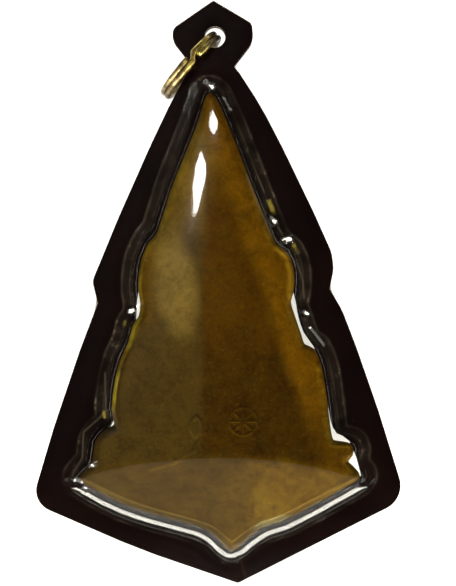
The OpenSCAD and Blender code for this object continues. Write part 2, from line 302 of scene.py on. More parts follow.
def clearPlastic():
    tree = Tree("clear plastic")
    facing = tree.node("LayerWeight", {}, {"Blend": 0.5}, "Facing")
    waves = tree.noise(0.25, 2.0) + 0.03 * tree.noise(5.0, 2.0)
    normal = tree.bump(waves, 0.008)
    shine = tree.glossy(clearLook["shine"], normal)
    haze = tree.glossy(clearLook["haze"], normal)
    edgesWithHighlights = tree.mixed(clearLook["hazy"], shine, haze)
    through = tree.node("BsdfTransparent", {}, {"Color": clearLook["tint"]})
    share = clearLook["ahead"] + clearLook["aslant"] * facing ** 5
    share = share * (1 - clearLook["dulled"] * tree.mark("dull"))
    clear = tree.mixed(share, through, edgesWithHighlights)
    # Scuffs and flecks in the walls with a painted reflection along them, frosted cut edges, and
    # painted highlight lines given as frost
    wall = tree.mark("wall")
    frostAndGlint = tree.mark("frostAndGlint")
    fleck = tree.noise(1.6, 4.0, 0.7).over(0.55, 0.68)
    grey = tree.noise(0.5, 2.0).over(0.35, 0.65)
    matt = tree.node("BsdfDiffuse", {}, {"Color": clearLook["scuffAndSheen"]})
    least, greyShare, fleckShare = clearLook["scuffedAndSheen"]
    scuffsAndSheen = wall * (least + fleckShare * fleck * grey + greyShare * grey)
    scuffedAndSheen = tree.mixed(scuffsAndSheen.math("MAXIMUM", clearLook["frostAndGlint"] * frostAndGlint), clear, matt)
    # Painted reflection of the casting's brass in the bends of the walls
    gold = tree.node("BsdfDiffuse", {}, {"Color": clearLook["gold"]})
    least, more = clearLook["goldReflectionShares"]
    goldReflectionShare = tree.mark("goldReflection") * (least + more * tree.noise(1.6, 2.0).over(0.35, 0.65))
    return tree.finished(tree.mixed(goldReflectionShare, scuffedAndSheen, gold))


blackLook = {
    "deep": (0.0024, 0.0006, 0.0006, 1),
    "pale": (0.0042, 0.0013, 0.0012, 1),
    "crack": (0.045, 0.024, 0.016, 1),
    "crackAt": (1.62, -20.9),   # a place on it, its lean, its wander and its upper end
    "crackLean": 0.3,
    "crackWander": 0.25,
    "crackTop": -21.0,
}


def blackPlastic():
    tree = Tree("black plastic")
    clouds = tree.noise(0.2, 3.0).over(0.35, 0.7)
    colour = tree.mix(clouds, blackLook["deep"], blackLook["pale"])
    # A hairline crack at the lower point
    x, y = tree.across()
    crackX, crackY = blackLook["crackAt"]
    off = x - crackX + blackLook["crackLean"] * (y - crackY)
    off = (off + blackLook["crackWander"] * (tree.noise(1.2) - 0.5)).math("ABSOLUTE")
    crack = (1 - off.over(0.01, 0.06)) * (1 - (y - blackLook["crackTop"]).over(-0.1, 0.1))
    colour = tree.mix(crack * 0.7, colour, blackLook["crack"])
    normal = tree.bump(tree.noise(9.0, 3.0), 0.002)
    return tree.principled({"Base Color": colour, "Roughness": 0.45,
                            "Specular IOR Level": 0.02, "Normal": normal})


# The darkest and the lightest colour of each zone, patina and painted light: the upper left
# glow, the pale glow and the lit right zone are painted light
patinaAndLightZones = {
    "middle": ((0.036, 0.0135, 0.0002), (0.071, 0.0305, 0.0006)),
    "down": ((0.020, 0.0080, 0.0001), (0.047, 0.0205, 0.0003)),
    "up": ((0.070, 0.0330, 0.0010), (0.130, 0.0700, 0.0040)),
    "left": ((0.030, 0.0163, 0.0020), (0.063, 0.0365, 0.0055)),
    "upper left glow": ((0.080, 0.043, 0.0050), (0.150, 0.092, 0.0140)),
    "pale": ((0.090, 0.055, 0.0085), (0.170, 0.112, 0.0230)),
    "left edge": ((0.050, 0.0225, 0.0008), (0.105, 0.0530, 0.0030)),
    "right": ((0.070, 0.0285, 0.0003), (0.145, 0.0640, 0.0012)),
    "left foot": ((0.040, 0.0215, 0.0020), (0.084, 0.0480, 0.0070)),
    "right foot": ((0.075, 0.036, 0.0018), (0.150, 0.083, 0.0060)),
}
toneSpread = (0.92, 1.08)   # contrast added to each zone's two colours

# Colours of its small features: the rim, the bright rim, the left highlight spot and the steps
# are painted highlights
flecks = {
    "golden foot": (0.170, 0.102, 0.0060, 1),
    "speckle": (0.17, 0.11, 0.02, 1),
    "olive": (0.034, 0.028, 0.0035, 1),
    "rim": (0.25, 0.165, 0.008, 1),
    "bright rim": (0.55, 0.47, 0.05, 1),
    "left highlight spot": (0.19, 0.12, 0.004, 1),
    "steps": (0.26, 0.16, 0.012, 1),
    "lower edge": (0.020, 0.014, 0.003, 1),
    "pale edge": (0.20, 0.20, 0.11, 1),
    "dark edge": (0.02, 0.009, 0.0005, 1),
    "wheel's ground": (0.018, 0.008, 0.0003, 1),
    "wheel": (0.11, 0.065, 0.006, 1),
}

# Ovals of the patina and of painted light (the pale glow and the left highlight spot are painted
# light): middle and half size across and along, and lean, in mm
patches = {
    "pale": (-3.6, 0.9, 2.2, 4.6, -0.85),
    "golden foot": (4.2, -17.0, 1.7, 1.9, 0.0),
    "left highlight spot": (-6.9, -3.2, 0.9, 1.3, 1.8),
    "pale edge": (4.4, -18.6, 1.9, 1.0, 0.0),
}


class Brass(Tree):
    def __init__(self, name):
        super().__init__(name)
        self.x, self.y = self.across()
        self.depth = self.mark("depth")
        self.wander = 1.8 * (self.noise(0.3, 4.0, 0.6) - 0.5)
        self.mottle = self.noise(0.6, 4.0, 0.7, 0.6).over(0.3, 0.7)
        self.grain = self.noise(3.0, 4.0, 0.8).over(0.28, 0.72)

    def tone(self, zone):
        dark, light = (tuple(v * share for v in shade) + (1,)
                       for shade, share in zip(patinaAndLightZones[zone], toneSpread))
        return self.mix(self.grain * 0.5 + self.mottle * 0.5, dark, light)

    def patch(self, name):
        middleX, middleY, halfX, halfY, lean = patches[name]
        off = self.y - middleY - lean * (self.x - middleX)
        far = ((self.x - middleX) / halfX) ** 2.0 + (off / halfY) ** 2.0
        return 1 - far.over(0.2, 1.3)

    # Patina with painted light and shade over it: the darker brown middle stands for shade, the
    # golden zone to the right is painted light, and to the left an olive patina lies under a
    # painted pale glow and a painted glow at the upper left, whose sharp right edge is the left
    # zone's edge
    def patinaAndPaintedLight(self):
        x, y, wander, tone = self.x, self.y, self.wander, self.tone
        down = (-1.5 - y + wander).over(0, 6)
        up = (y - 9 + wander).over(-2, 3)
        left = (-1.15 - x + 0.35 * wander).over(-0.35, 0.55)
        high = (y - 4.5 + wander).over(-1, 3) * left
        warm = (1 - (x + 5.1 + 0.4 * wander).over(-0.4, 0.6)) * (y + 4 + wander).over(0, 2)
        border = 4.4 - 0.33 * (y + 3.0)
        right = (x - border + 0.5 * wander).over(-0.6, 0.9)
        fade = 1 - 0.55 * (-9.5 - y + wander).over(-1, 2)
        foot = (-12.6 - y + 0.3 * wander - 0.012 * x * x).over(0, 1.4)
        footTone = self.mix((x + wander).over(-1, 6), tone("left foot"), tone("right foot"))
        golden = self.patch("golden foot") * self.mottle
        speckle = self.noise(4.0, 3.0, 0.7).over(0.58, 0.72)
        olive = self.noise(0.9, 3.0, 0.6, 0.4).over(0.5, 0.7)
        return self.layered(
            tone("middle"),
            (down, tone("down")),
            (up, tone("up")),
            (left, tone("left")),
            # The upper left glow and the pale patch below are painted glow, bounded by the left
            # zone's edge
            (high, tone("upper left glow")),
            (self.patch("pale") * left, tone("pale")),
            (warm * 0.7, tone("left edge")),
            # The lit right zone is painted light
            (right * fade, tone("right")),
            (foot, footTone),
            (golden * 0.7, flecks["golden foot"]),
            (speckle * 0.2, flecks["speckle"]),
            (olive * 0.25, flecks["olive"]))

    # Painted highlight along its left edge, brightest in two lengths of it and at a spot, and
    # painted highlights along its right steps. Its lower edge is dark with a pale length.
    def edgesWithHighlights(self, colour):
        x, y, depth, wander = self.x, self.y, self.depth, self.wander
        mottle, grain = self.mottle, self.grain
        wide = 0.18 + 0.45 * (y - 4.5).over(0, 2.5) * (1 - (y - 9.5).over(0, 3))
        rim = (1 - ((depth + 0.12 * wander) / wide).over(0.2, 1.0)) * (-1 - x).over(-1, 1.5)
        rim = rim * (0.25 + 0.75 * mottle) * (y + 10.5).over(0, 2)
        bright = 1 - ((y + 3.4) ** 2.0).over(0.5, 2.2)
        bright = bright.math("MAXIMUM", 0.6 - 0.6 * ((y + 8.0) ** 2.0).over(1.0, 4.0))
        steps = (1 - (depth + 0.2 * wander).over(0.1, 0.55)) * (x - 1.5).over(0, 2) * mottle
        lowEdge = (1 - depth.over(0.1, 0.7)) * (-14.2 - y).over(0, 0.8)
        paleEdge = lowEdge * self.patch("pale edge") * grain
        edge = 1 - (depth + 0.2 * grain).over(-0.05, 0.25)
        return self.layered(
            colour,
            # The rim, its bright lengths, the spot and the steps are painted highlights
            (rim * (0.55 + 0.45 * bright), flecks["rim"]),
            (rim * bright * 0.8, flecks["bright rim"]),
            (self.patch("left highlight spot") * 0.5, flecks["left highlight spot"]),
            (steps * 0.5 * (y + 14.6).over(0, 0.8), flecks["steps"]),
            (lowEdge * 0.6, flecks["lower edge"]),
            (paleEdge * 0.6, flecks["pale edge"]),
            (edge * 0.35, flecks["dark edge"]))

    # The grooves of the stamped wheel, and the round ground that they lie in
    def wheel(self):
        dx, dy = self.x - stamps["wheel"][0], self.y - stamps["wheel"][1]
        radius = (dx * dx + dy * dy) ** 0.5
        beside = (4 * dy.math("ARCTAN2", dx)).math("SINE").math("ABSOLUTE") * radius / 4
        spokes = (1 - beside.over(0.03, 0.11)) * radius.over(0.15, 0.25)
        spokes = spokes * (1 - radius.over(0.95, 1.05))
        hoop = 1 - (radius - stamps["hoop"]).math("ABSOLUTE").over(0.05, 0.14)
        grooves = spokes.math("MAXIMUM", hoop) * (0.25 + 0.75 * self.mottle)
        return grooves, (1 - radius.over(1.15, 1.35)) * (1 - grooves)


def castBrass():
    tree = Brass("cast brass")
    grooves, ground = tree.wheel()
    colour = tree.layered(
        tree.edgesWithHighlights(tree.patinaAndPaintedLight()),
        (ground * 0.12, flecks["wheel's ground"]),
        (grooves * 0.1, flecks["wheel"]))
    normal = tree.bump(0.6 * tree.grain + 0.6 * tree.mottle + 1.2 * grooves, 0.02)
    return tree.principled({"Base Color": colour, "Metallic": 0.6,
                            "Roughness": 0.36 + 0.2 * tree.grain,
                            "Specular IOR Level": 0.0, "Normal": normal})


# Colours of the ring's metal, dull and worn bright: beyond the tab and over it, and painted
# shade where it lies in the tab's hole
ringLook = {
    "khaki": (rgb(74, 62, 38), rgb(140, 124, 84)),
    "gold": (rgb(112, 92, 34), rgb(186, 168, 92)),
    "shade": rgb(62, 50, 26),
    "goldFrom": -3.0,
    "shadeFrom": -1.0,
}


def ringMetal():
    tree = Tree("pale ring metal")
    x, y = tree.across()
    wear = tree.noise(1.5, 4.0, 0.6).over(0.35, 0.65)
    fine = tree.noise(8.0, 3.0).over(0.3, 0.7)
    khaki = tree.mix(wear, *ringLook["khaki"])
    gold = tree.mix(wear, *ringLook["gold"])
    colour = tree.mix((x - ringLook["goldFrom"]).over(0, 0.8), khaki, gold)
    # Darker in the tab's hole: painted shade
    colour = tree.mix((x - ringLook["shadeFrom"]).over(0, 0.4), colour, ringLook["shade"])
    normal = tree.bump(fine, 0.006)
    return tree.principled({"Base Color": colour, "Metallic": 0.85,
                            "Roughness": 0.42 - 0.2 * wear, "Normal": normal})


# The casting. Its back and the film of the dome over it share one smooth crown.
crown = {
    "apex": 16.8,      # where the dome's sides would meet
    "spread": 0.355,   # half its width for each mm below that
    "middle": -0.42,   # the ridge's place across
    "rise": 0.5,       # full height of the ridge
    "narrow": 3.2,     # half width below which the ridge sinks
    "least": 0.4,      # least height below the apex that its width is taken at
    "nose": 9.8,       # from here up it all bends down towards the apex
    "noseBend": 0.024,
    "fall": 0.1007,    # slope of the foot's facet
    "fallFrom": -13.36,
    "fallBend": 0.0119,
    "roll": 0.13,      # how far it rolls down at its shoulder
    "rollFrom": 0.55,  # depth inside the casting's outline where the roll starts
    "shoulder": 0.45,  # how far outside the outline that roll ends
    "steep": (0.28, 0.68, 0.8),   # start, end and share of height of the side walls' drop
    "gentle": (0.5, 1.6, 0.2),    # and of their long foot
    "lowFrom": (14.4, 15.6),  # below these levels it falls as lowSlopes has it
    "lowSlopes": ((0, 0), (0.2, 0.1), (0.6, 0.56), (1.12, 0.84), (1.16, 2), (2, 2)),
}

# The fall of the film beside the two lower edges, summed from its slopes by distance in mm
lowOut = np.linspace(0, 2, 401)
lowSteps = np.interp(lowOut, *zip(*crown["lowSlopes"])) * (lowOut[1] - lowOut[0])
lowFall = (lowOut, np.cumsum(lowSteps) - lowSteps[0])

# Marks struck into the casting's back, and a worn line across it, in mm
stamps = {
    "wheel": (1.98, -10.32),
    "hoop": 1.1,             # its radius, and half the widths of the hoop and the spokes
    "hoopHalf": 0.13,
    "spokeHalf": 0.11,
    "spokeEnd": 1.05,
    "wheelHigh": 0.075,
    "ground": (1.15, 1.4),   # radii of the sunk ground's edge, and its depth
    "sunk": 0.03,
    "leaf": (-1.78, -10.72),
    "leafHalf": (0.42, 0.85),
    "leafRim": 0.3,
    "veinHalf": 0.12,
    "leafHigh": 0.1,
    "lines": ((-0.3, -8.7, -0.9, -9.7), (-0.9, -9.7, -1.1, -11.2), (-1.1, -11.2, -1.9, -12.6),
              (-1.9, -12.6, -3.4, -13.5), (-3.4, -13.5, -5.4, -14.1), (3.3, -12.9, 3.35, -12.9)),
    "lineHalf": 0.15,
    "lineHigh": 0.05,
}


def stampsAt(x, y):
    dx, dy = x - stamps["wheel"][0], y - stamps["wheel"][1]
    radius, turn = np.hypot(dx, dy), np.arctan2(dy, dx)
    beside = radius * np.sin(4 * turn) / 4
    spokes = ridge(beside, stamps["spokeHalf"]) * (radius < stamps["spokeEnd"])
    hoop = ridge(radius - stamps["hoop"], stamps["hoopHalf"])
    height = stamps["wheelHigh"] * np.maximum(spokes, hoop)
    height -= stamps["sunk"] * (1 - eased(radius, *stamps["ground"]))
    dx, dy = x - stamps["leaf"][0], y - stamps["leaf"][1]
    rim = np.abs(dx) / stamps["leafHalf"][0] + (dy / stamps["leafHalf"][1]) ** 2
    vein = ridge(dx, stamps["veinHalf"]) * (rim < 1)
    height += stamps["leafHigh"] * np.maximum(ridge(rim - 1, stamps["leafRim"]), vein)
    for ends in stamps["lines"]:
        height += stamps["lineHigh"] * ridge(besideLine(x, y, ends)[0], stamps["lineHalf"])
    return height


# Lines worked into the figure on the casting's hidden front, to both sides of its middle:
# two ends, half width and height, in mm
figureLines = (
    (0.3, 2.95, 0.75, 3.05, 0.15, 0.10),    # brows
    (0.75, 3.05, 1.35, 2.75, 0.15, 0.10),
    (0.45, 2.35, 1.15, 2.3, 0.22, 0.14),    # lids and the slits below them
    (0.4, 2.02, 1.2, 2.0, 0.10, -0.12),
    (0.0, 2.7, 0.0, 1.6, 0.20, 0.12),       # nose
    (0.0, 1.5, 0.12, 1.5, 0.26, 0.16),
    (0.0, 1.08, 0.4, 1.02, 0.13, 0.12),     # lips
    (0.0, 0.92, 0.5, 0.98, 0.09, -0.12),
    (0.0, 0.76, 0.3, 0.8, 0.14, 0.12),
    (2.15, 3.0, 2.2, 1.6, 0.26, 0.32),      # long ears
    (2.2, 1.6, 1.95, 0.4, 0.22, 0.30),
    (0.0, 3.7, 1.0, 3.5, 0.16, 0.10),       # hairline
    (1.0, 3.5, 1.75, 2.9, 0.16, 0.10),
    (0.4, -0.35, 1.3, -0.15, 0.12, -0.08),  # folds of the neck
    (2.6, -4.6, 2.9, -7.4, 0.20, -0.16),    # arms from the body
    (0.2, -8.6, 6.3, -8.9, 0.18, -0.16),    # crossed legs
)
# Folds of its robe, from one shoulder down
robeLines = (
    (2.6, -1.2, 0.9, -3.2, 0.17, 0.14),
    (0.9, -3.2, -0.9, -6.2, 0.17, 0.14),
    (-0.9, -6.2, -1.6, -7.4, 0.17, 0.14),
    (3.1, -1.8, 1.5, -3.6, 0.12, -0.08),
    (1.5, -3.6, -0.2, -6.5, 0.12, -0.08),
)
figureShape = {
    "foot": (0.208, -20.34),   # foot of its middle line, and its lean for each mm up
    "lean": -0.0274,
    "head": (3.4, 2.0, 2.2),   # level of its middle, half its width and height
    "curl": 0.62,              # width and height of the curls
    "curlHigh": 0.07,
    "hairFrom": (3.9, 4.2),    # edge of the hair, and how much lower it is beside the face
    "hairFall": 0.25,
    "petals": ((-11.9, 0), (-14.0, 0.9)),    # level and start of each row
    "petal": 1.8,
    "petalHalf": 0.75,
    "petalHigh": 0.2,
    "arch": (0.9, 0.4),        # depth of the arch's middle and half its width
    "archFoot": (-10.5, -9.5),
    "rib": 0.95,
    "ribHigh": 0.09,
}


def figureAt(x, y, depths):
    shape = figureShape
    across = x - shape["foot"][0] - shape["lean"] * (y - shape["foot"][1])
    beside = np.abs(across)
    height = np.zeros(len(x))
    for *ends, half, rise in figureLines:
        height += rise * ridge(besideLine(beside, y, ends)[0], half)
    for *ends, half, rise in robeLines:
        height += rise * ridge(besideLine(across, y, ends)[0], half)
    # Curls over the head, two rows of lotus petals, and ribs along the arch
    level, halfWide, halfTall = shape["head"]
    hair = (across / halfWide) ** 2 + ((y - level) / halfTall) ** 2 < 1
    curls = wave(across, shape["curl"]) * wave(y, shape["curl"])
    edge = eased(y + shape["hairFall"] * beside ** 2, *shape["hairFrom"])
    height += shape["curlHigh"] * curls * hair * edge
    for level, start in shape["petals"]:
        petals = np.abs(np.cos(math.pi * (across - start) / shape["petal"])) ** 0.7
        row = np.exp(-((y - level) / shape["petalHalf"]) ** 4)
        height += shape["petalHigh"] * petals * row
    inside, half = shape["arch"]
    band = ridge(depths - inside, half) * eased(y, *shape["archFoot"])
    return height + shape["ribHigh"] * band * wave(y, shape["rib"])


# How far the crown bends down towards its apex
def noseAt(y):
    return 0.5 * crown["noseBend"] * np.maximum(y - crown["nose"], 0) ** 2


# The crown's height above its level
def crownAt(x, y):
    half = crown["spread"] * np.maximum(crown["apex"] - y, crown["least"])
    share = (half / crown["narrow"]) ** 2
    top = crown["rise"] * share / np.sqrt(1 + share ** 2)
    foot = np.maximum(crown["fallFrom"] - crown["fallBend"] * x ** 2 - y, 0)
    return top * (1 - ((x - crown["middle"]) / half) ** 2) - crown["fall"] * foot


# How far its shoulder rolls down
def rollAt(depths):
    out = np.clip((crown["rollFrom"] - depths) / (crown["rollFrom"] + crown["shoulder"]), 0, 1)
    return crown["roll"] * out ** 2


# Crown of the casting's back, eased in from its edge
def crownCast(piece, level, chosen, depths):
    points = pointsOf(piece)
    x, y = points[:, 0] / mm, points[:, 1] / mm
    share = eased(depths, 0, castShape["eased"]) * chosen
    surface = level + crownAt(x, y) - rollAt(depths) + stampsAt(x, y)
    points[:, 2] += share * (surface * mm - points[:, 2])
    putPoints(piece, points)


# One face of the film: crown and shoulder down to its foot, set in by the film's thickness
def crownFilm(piece, level, foot, chosen, depths, setIn=0):
    points = pointsOf(piece)
    x, y = points[:, 0] / mm, points[:, 1] / mm
    low = eased(-y, *crown["lowFrom"])
    out = np.maximum(setIn - depths, 0)
    rise = level + crownAt(x, y) - rollAt(depths) * (1 - low) - noseAt(y) - foot
    start, end, share = crown["gentle"]
    side = 1 - share * np.clip((out - start) / (end - start), 0, 1)
    start, end, share = crown["steep"]
    side -= share * eased(out, start, end)
    under = np.maximum(rise - np.interp(out, *lowFall), 0)
    points[:, 2] += chosen * ((foot + rise * side * (1 - low) + under * low) * mm - points[:, 2])
    putPoints(piece, points)


# Sinks the nose of the whole piece, by its full share above the higher level
def noseSunk(piece, low, high):
    points = pointsOf(piece)
    share = np.clip((points[:, 2] / mm - low) / (high - low), 0, 1)
    points[:, 2] -= share * noseAt(points[:, 1] / mm) * mm
    putPoints(piece, points)


# The node's outline at a level, sampled closely, with the way out of it
outlineStep = 0.03    # between two samples, and how near to the level its edges lie
outlineNear = 0.001


def outlineAt(nodeName, level):
    mesh = frame["nodes"][nodeName].data
    places, ways = [], []
    for face in mesh.polygons:
        if abs(face.normal.z) > castShape["wall"]:
            continue
        for first, second in face.edge_keys:
            a, b = (np.array(mesh.vertices[i].co) for i in (first, second))
            if max(abs(a[2] - level * mm), abs(b[2] - level * mm)) > outlineNear * mm:
                continue
            steps = max(2, int(np.hypot(*(b - a)[:2]) / (outlineStep * mm)))
            places.extend((a + share * (b - a))[:2] for share in np.arange(steps) / steps)
            ways.extend([face.normal.xy.normalized()[:]] * steps)
    tree = KDTree(len(places))
    for i, place in enumerate(places):
        tree.insert((*place, 0), i)
    tree.balance()
    return tree, np.array(places), np.array(ways)


# How far inside the casting's outline each point lies in mm, less than 0 outside it
def depthIn(points, outline):
    tree, places, ways = outline
    depths = np.empty(len(points))
    for i, point in enumerate(points):
        place, nearest, away = tree.find((point[0], point[1], 0))
        within = np.dot(point[:2] - places[nearest, :2], ways[nearest, :2]) < 0
        depths[i] = away / mm if within else -away / mm
    return depths


castShape = {
    "voxel": 0.126,
    "grown": 0.18,          # wider than the solid all round, and further at its lowest point
    "tipFrom": -19.2,
    "tipGrown": 0.25,
    "widest": 3.2,          # level of its widest outline
    "wall": 0.3,            # most upward share of a wall's normal
    "back": 5.2,            # level of its back below the crown
    "backAbove": 4.0,       # its points lie above this and face up by more than this share
    "backUp": 0.5,
    "eased": 0.35,          # depth over which the crown sets in
    "sunk": (3.0, 5.0),     # levels between which the nose sinks
    "workedFrom": 0.25,     # depth inside which the front is worked, where it faces down by
    "workedDown": 0.25,     # more than this share, and its lowest level
    "lowest": 0.82,
}

castAmulet = copyOfNode("amulet", "castAmulet")
applied(castAmulet, "REMESH", mode="VOXEL", voxel_size=castShape["voxel"] * mm)
applied(castAmulet, "SMOOTH", factor=0.5, iterations=3)
castPoints, castNormals = pointsOf(castAmulet), normalsOf(castAmulet)
castPoints[:, :2] += castNormals[:, :2] * castShape["grown"] * mm
beyond = np.clip(castShape["tipFrom"] - castPoints[:, 1] / mm, 0, 1)
castPoints[:, 1] -= castShape["tipGrown"] * mm * beyond
putPoints(castAmulet, castPoints)
castOutline = outlineAt("amulet", castShape["widest"])
castDepths = depthIn(castPoints, castOutline)
onBack = castNormals[:, 2] > castShape["backUp"]
onBack &= castPoints[:, 2] > castShape["backAbove"] * mm
crownCast(castAmulet, castShape["back"], onBack, castDepths)
noseSunk(castAmulet, *castShape["sunk"])
castPoints = pointsOf(castAmulet)
worked = castNormals[:, 2] < -castShape["workedDown"]
worked &= castDepths > castShape["workedFrom"]
figure = figureAt(castPoints[:, 0] / mm, castPoints[:, 1] / mm, castDepths) * worked
lowest = np.minimum(castPoints[:, 2], castShape["lowest"] * mm)
castPoints[:, 2] = np.maximum(castPoints[:, 2] - figure * mm, lowest)
putPoints(castAmulet, castPoints)
marked(castAmulet, "depth", castDepths)
smoothBy(castAmulet, 180)
given(castAmulet, castBrass(), "cast_brass", "amulet")
print("casting made,", len(castAmulet.data.polygons), "faces")

# The case

caseShape = {
    "support": 0.08,         # strip beside the walls' feet
    "edge": 0.08,            # bevel of the cut edges
    "flat": 0.99,            # least upward share of a flat face's normal
    "sharp": 62,             # degrees from which an edge stays sharp
    "near": 0.01,            # how near to its level a flat face lies
    "finer": 2,              # levels of subdivision
    "smooth": 50,
    "reach": 1.95,           # from the casting's outline to where the film is flat
    "walls": (-1.8, 0.8),    # depths between which the walls take finer faces
    "border": (4.05, 4.65),  # the back cover's lower and upper faces, round the dome and on it
    "dome": (5.4, 6.0),
    "above": (4.04, 4.6),    # levels from which up the faces of the dome are chosen
    "filmSetIn": 0.5,
    "frontBorder": (2.35, 2.95),
    "frostFrom": -2,         # depth below which edges are frosted, and levels that it grows by
    "frostUp": (19, 20.5),
    "frostLow": 0.25,        # its share on the lowest edges
    "upright": 0.9,          # most upward share of a frosted edge's normal
}

# Small folds of the film over the corners, flats that face down along the pendant:
# two ends, half width and slope, in mm. The long ones follow the film's own fall.
longFold = 0.7
folds = (
    (-6.35, -1.0, -6.45, -1.15, 0.28, 0.72),
    (-6.95, -1.45, -7.0, -1.6, 0.3, 0.72),
    (-1.0, 16.85, -0.95, 16.7, 0.26, 0.76),
    (-0.55, 16.5, -0.48, 16.3, 0.3, 0.76),
    (0.45, 15.5, 0.95, 14.6, 0.2, 0.95),
    (4.35, 5.8, 4.5, 5.6, 0.32, 0.73),
    (5.35, 4.1, 5.65, 4.25, 0.36, 0.73),
    (6.95, -1.6, 7.1, -1.75, 0.26, 0.72),
    (7.4, -2.9, 8.4, -4.2, 0.18, 0.95),
    (-10.05, -13.75, -10.0, -13.85, 0.26, 0.69),
    (-11.4, -15.0, -10.6, -15.6, 0.22, 0.95),
)

# Painted highlights in the walls: thin pale lines from bend to bend, given as frost, and their
# share of frost and half width
glintLineFrost = 0.25
glintLineHalf = 0.08
glintLines = (
    ((-8.9, -9.5), (-10.78, -11.2), (-10.87, -13.28), (-12.0, -15.1)),
    ((-8.53, -9.2), (-8.0, -10.9)),
    ((-9.06, -6.5), (-9.0, -9.4)),
    ((4.6, 5.45), (5.2, 4.5)),
    ((5.4, 3.1), (6.25, 2.4), (6.76, 1.0), (6.86, -0.5)),
    ((2.25, 9.3), (3.07, 7.2), (4.1, 4.84), (5.33, 3.28)),
    ((3.07, 9.44), (3.69, 7.92)),
)

# Where the casting's brass is painted as a reflection in the walls: two ends and half width
goldReflectionSpots = (
    (4.1, 7.2, 4.4, 6.35, 0.19),
    (6.02, 3.75, 6.32, 3.2, 0.19),
    (-7.45, -2.4, -7.55, -2.7, 0.12),
    (-9.15, -9.6, -9.1, -10.0, 0.13),
)


# Bends the chosen points to the folds, and returns each point's share in one
def folded(piece, chosen):
    points = pointsOf(piece)
    x, y = points[:, 0] / mm, points[:, 1] / mm
    shares = np.zeros(len(x))
    among = np.flatnonzero(chosen)
    for x0, y0, x1, y1, half, slope in folds:
        away, share = besideLine(x, y, (x0, y0, x1, y1))
        ends = [points[among[np.argmin(np.hypot(x[among] - a, y[among] - b))], 2]
                for a, b in ((x0, y0), (x1, y1))]
        level = ends[0] + share * (ends[1] - ends[0])
        flat = level + slope * (y - y0 - share * (y1 - y0)) * mm
        if np.hypot(x1 - x0, y1 - y0) < longFold:
            flat = sum(ends) / 2 + slope * (y - (y0 + y1) / 2) * mm
        share = chosen * np.exp(-(away / half) ** 4)
        points[:, 2] += share * (flat - points[:, 2])
        shares = np.maximum(shares, share)
    putPoints(piece, points)
    return shares


# A cover with its rounded forms made smooth and its cut edges bevelled
def smoothCover(nodeName, pieceName, levels):
    cover = copyOfNode(nodeName, pieceName)
    chooseFaces(cover, [
        any(abs(face.center.z / mm - level) < caseShape["near"] for level in levels)
        and abs(face.normal.z) > caseShape["flat"] for face in cover.data.polygons])
    bpy.ops.mesh.inset(thickness=caseShape["support"] * mm, use_boundary=True,
                       use_even_offset=True)
    sharp = math.radians(caseShape["sharp"])
    bpy.ops.mesh.select_mode(type="EDGE")
    bpy.ops.mesh.select_all(action="DESELECT")
    bpy.ops.mesh.edges_select_sharp(sharpness=sharp)
    bpy.ops.transform.edge_crease(value=1)
    bpy.ops.transform.vert_crease(value=1)
    bpy.ops.object.mode_set(mode="OBJECT")
    finer = caseShape["finer"]
    applied(cover, "SUBSURF", levels=finer, render_levels=finer)
    applied(cover, "BEVEL", width=caseShape["edge"] * mm, segments=2, limit_method="ANGLE",
            angle_limit=sharp)
    bpy.ops.object.mode_set(mode="EDIT")
    bpy.ops.mesh.select_all(action="SELECT")
    bpy.ops.mesh.remove_doubles(threshold=0.00001 * mm)
    bpy.ops.object.mode_set(mode="OBJECT")
    return cover


# How frosted each point is: the cut edges round the case, most of all round the tab
def frostOf(cover):
    points = pointsOf(cover)
    outside = depthIn(points, castOutline) < caseShape["frostFrom"]
    side = (np.abs(normalsOf(cover)[:, 2]) < caseShape["upright"]) & outside
    upper = eased(points[:, 1] / mm, *caseShape["frostUp"])
    least = caseShape["frostLow"]
    return side * (least + (1 - least) * upper)


# The back cover's marks. Depths are mm inside the casting's outline, less than 0 outside it.
backMarks = {
    "foot": (0.6, 0.75),         # where the walls' feet turn dull, and beside the lower edges
    "lowFoot": (1.14, 1.2),
    "footDull": 0.95,
    "border": (1.9, 2.3),
    "borderDull": 0.75,
    "upper": (11, 13.5),         # from here up the feet are duller, and from nearer in
    "upperDull": 0.1,
    "upperNear": 0.2,
    "foldDull": -2.2,
    "band": (0.5, 0.65, 1.4, 1.6),
    "bandShare": 0.3,
    "lines": ((1.5, 0.09, 1), (0.85, 0.08, 0.6)),   # distance, half width and share
    "lowKept": 0.2,
}


# Where the polish is lost
def dullOf(y, depths, faces, bent):
    marks = backMarks
    low = eased(-y, *crown["lowFrom"])
    high = eased(y, *marks["upper"])
    start, end = (at - marks["upperNear"] * high for at in marks["foot"])
    side = (marks["footDull"] + marks["upperDull"] * high) * eased(-depths, start, end)
    foot = np.maximum(side * (1 - low), eased(-depths, *marks["lowFoot"]) * low)
    past = eased(-depths, *marks["border"])
    dull = foot * (1 - past) + marks["borderDull"] * past
    return np.where(faces < 0, 1, dull * (1 - bent) + marks["foldDull"] * bent)


# Where the walls are scuffed, with a grey band and two lines along them that are painted
# reflection
def wallOf(y, depths, faces, bent):
    marks = backMarks
    low = eased(-y, *crown["lowFrom"])
    start, full, fading, end = marks["band"]
    band = eased(-depths, start, full) * (1 - eased(-depths, fading, end))
    lines = sum(share * ridge(depths + at, half) for at, half, share in marks["lines"])
    fade = (1 - (1 - marks["lowKept"]) * low) * (1 - bent)
    return (faces > 0) * (marks["bandShare"] * band + lines) * fade


clear = clearPlastic()
backCover = smoothCover("back_cover", "backCover", caseShape["border"])
